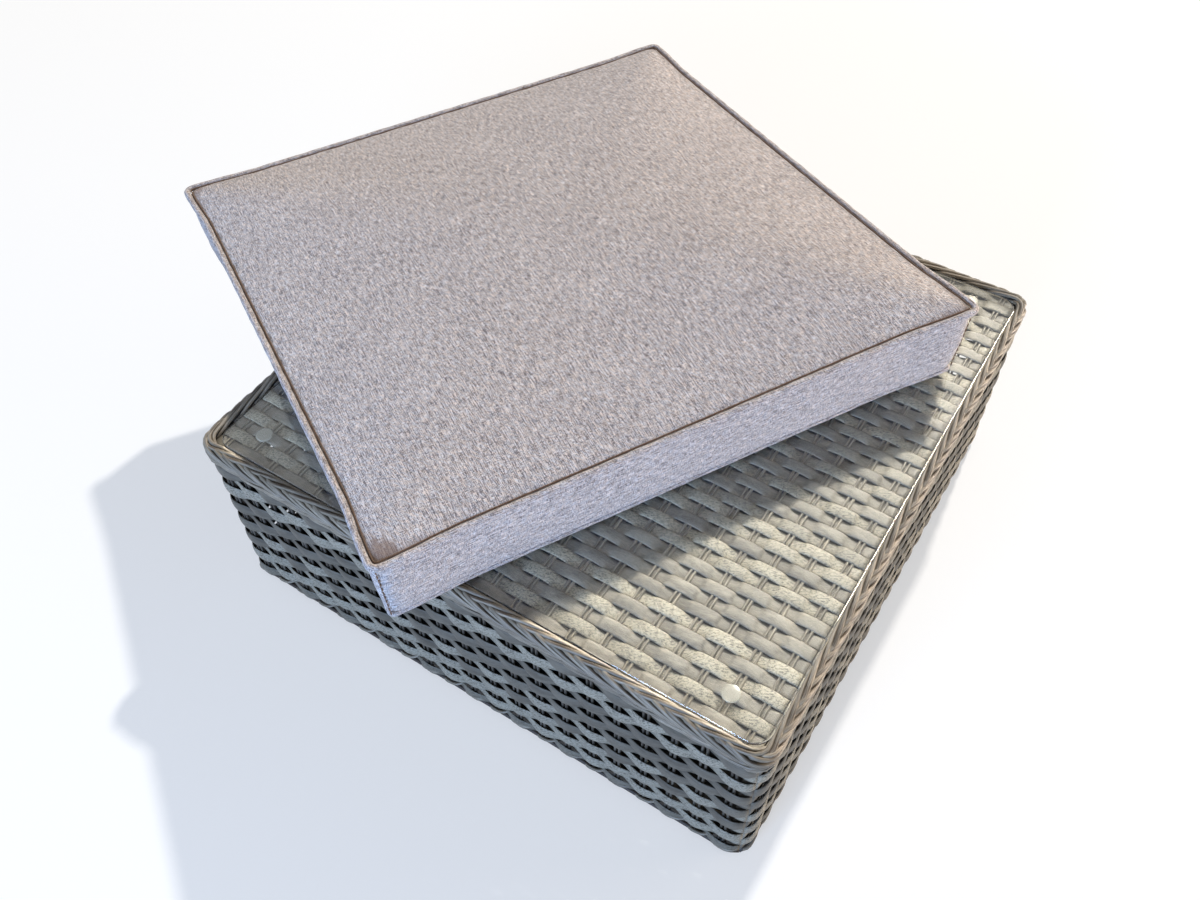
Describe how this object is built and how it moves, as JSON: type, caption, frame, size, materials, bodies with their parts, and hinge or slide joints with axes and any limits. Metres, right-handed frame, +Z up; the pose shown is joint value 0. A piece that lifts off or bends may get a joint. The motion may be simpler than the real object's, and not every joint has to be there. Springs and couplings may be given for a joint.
{
  "type": "outdoor ottoman footstool",
  "caption": "Square woven wicker patio ottoman with a plaited rim, a loose clear glass top and a piped grey-mauve box cushion lying askew on it.",
  "frame": {"origin": "On the floor under the middle of the outline of the whole assembly, cushion included", "axes": "+Z up, +X to the right along the front wall of the base, +Y from the front wall to the back wall"},
  "size_m": [0.8308, 0.7954, 0.3324],
  "materials": {
    "wall_wicker": "satin flat strips, mixed slate, taupe and cream",
    "top_wicker": "satin flat strips, mixed taupe and cream",
    "rim_wicker": "satin round strands, plaited",
    "border_wicker": "satin round strands",
    "stake_cord": "satin round cord",
    "frame_tube": "powder coated",
    "glide_plastic": "matt",
    "clear_glass": "clear with polished edge",
    "bumper_clear": "clear soft pad",
    "cover_cloth": "slubbed woven cloth",
    "boxing_cloth": "slubbed woven cloth",
    "piping_cloth": "slubbed woven cloth on a cord",
    "foam": "open foam",
    "zip_tape": "woven tape with a plastic coil",
    "zip_metal": "satin"
  },
  "bodies": {
    "base": {"wall_weave_front": "wall_wicker", "wall_stakes_front": "stake_cord", "rim_plait_front": "rim_wicker", "bottom_border_front": "border_wicker", "top_rail_front": "frame_tube", "bottom_rail_front": "frame_tube", "corner_post_1": "frame_tube", "foot_glide_1": "glide_plastic", "wall_weave_right": "wall_wicker", "wall_stakes_right": "stake_cord", "rim_plait_right": "rim_wicker", "bottom_border_right": "border_wicker", "top_rail_right": "frame_tube", "bottom_rail_right": "frame_tube", "corner_post_2": "frame_tube", "foot_glide_2": "glide_plastic", "wall_weave_back": "wall_wicker", "wall_stakes_back": "stake_cord", "rim_plait_back": "rim_wicker", "bottom_border_back": "border_wicker", "top_rail_back": "frame_tube", "bottom_rail_back": "frame_tube", "corner_post_3": "frame_tube", "foot_glide_3": "glide_plastic", "wall_weave_left": "wall_wicker", "wall_stakes_left": "stake_cord", "rim_plait_left": "rim_wicker", "bottom_border_left": "border_wicker", "top_rail_left": "frame_tube", "bottom_rail_left": "frame_tube", "corner_post_4": "frame_tube", "foot_glide_4": "glide_plastic", "top_weave": "top_wicker", "top_stakes": "stake_cord", "top_brace_left": "frame_tube", "top_brace_right": "frame_tube"},
    "glass": {"glass_top": "clear_glass", "glass_bumper_1": "bumper_clear", "glass_bumper_2": "bumper_clear", "glass_bumper_3": "bumper_clear", "glass_bumper_4": "bumper_clear"},
    "cushion": {"cushion_foam": "foam", "cushion_top_panel": "cover_cloth", "cushion_boxing": "boxing_cloth", "cushion_bottom_panel": "cover_cloth", "cushion_top_piping": "piping_cloth", "cushion_bottom_piping": "piping_cloth", "zip_tape": "zip_tape"},
    "slider": {"zip_slider": "zip_metal"},
    "pull": {"zip_pull": "zip_metal"}
  },
  "joints": [
    {"name": "glass_lift", "type": "slide", "parent": "base", "child": "glass", "axis": [0, 0, 1], "range_m": [0, 0.15]},
    {"name": "cushion_lift", "type": "slide", "parent": "glass", "child": "cushion", "axis": [0, 0, 1], "range_m": [0, 0.2]},
    {"name": "zip_slide", "type": "slide", "parent": "cushion", "child": "slider", "axis": [0.8712, -0.4909, 0], "range_m": [0, 0.39]},
    {"name": "zip_pull_turn", "type": "hinge", "parent": "slider", "child": "pull", "pos_m": [-0.0474, 0.35307, 0.2638], "axis": [0, 0, 1], "range_deg": [0, 170]}
  ]
}
